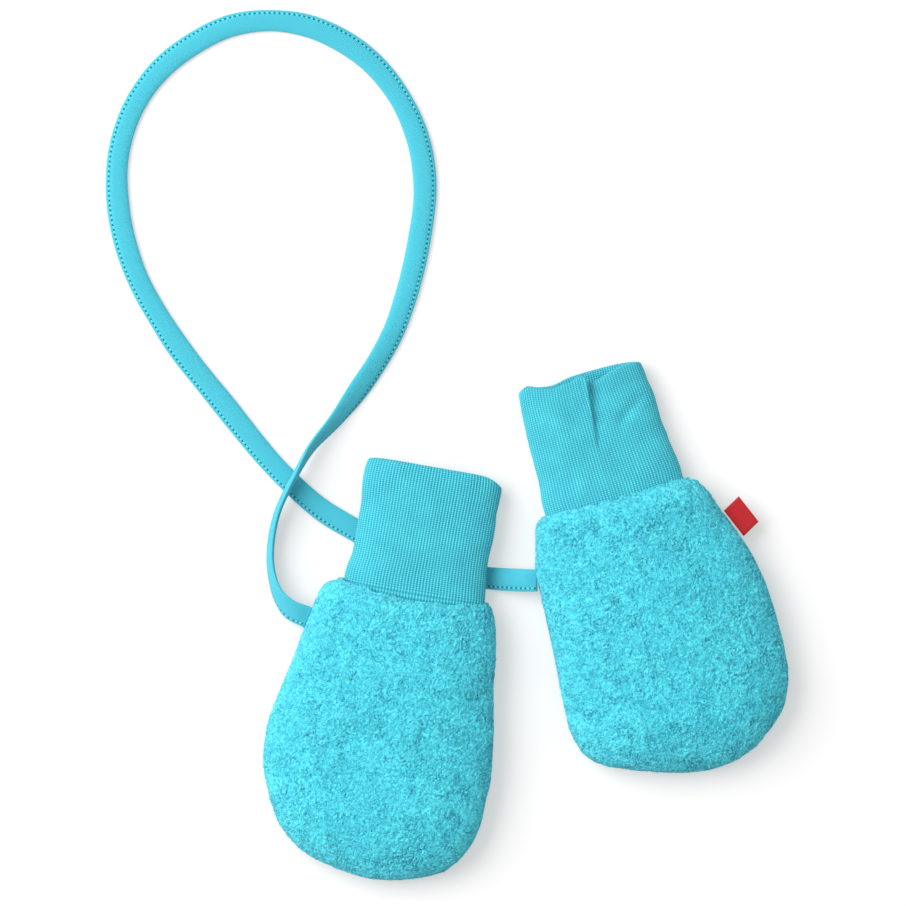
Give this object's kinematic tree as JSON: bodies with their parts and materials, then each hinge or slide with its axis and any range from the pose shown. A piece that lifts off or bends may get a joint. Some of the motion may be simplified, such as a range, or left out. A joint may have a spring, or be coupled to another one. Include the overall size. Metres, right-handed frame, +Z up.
{
  "type": "pair of baby mittens joined by a strap",
  "caption": "Pair of thumbless baby mittens in curly fleece with open rib-knit cuffs, laid flat and joined by a long flat strap.",
  "frame": {"origin": "middle of the two mittens' bounding box, on the surface they lie on", "axes": "+Z up from the surface, +Y from the mittens' tips towards their cuffs, +X from the left mitten to the right one"},
  "size_m": [0.2455, 0.3129, 0.0202],
  "materials": {
    "curly_fleece": "curly teddy fleece pile, matt",
    "rib_knit": "fine rib knit, matt",
    "strap_knit": "smooth fine jersey with topstitching",
    "woven_tab": "woven ribbon, slight sheen"
  },
  "bodies": {
    "root": {"left_front_panel": "curly_fleece", "left_back_panel": "curly_fleece", "left_cuff": "rib_knit", "right_front_panel": "curly_fleece", "right_back_panel": "curly_fleece", "right_cuff": "rib_knit", "joining_strap": "strap_knit", "side_tab": "woven_tab"}
  },
  "joints": []
}
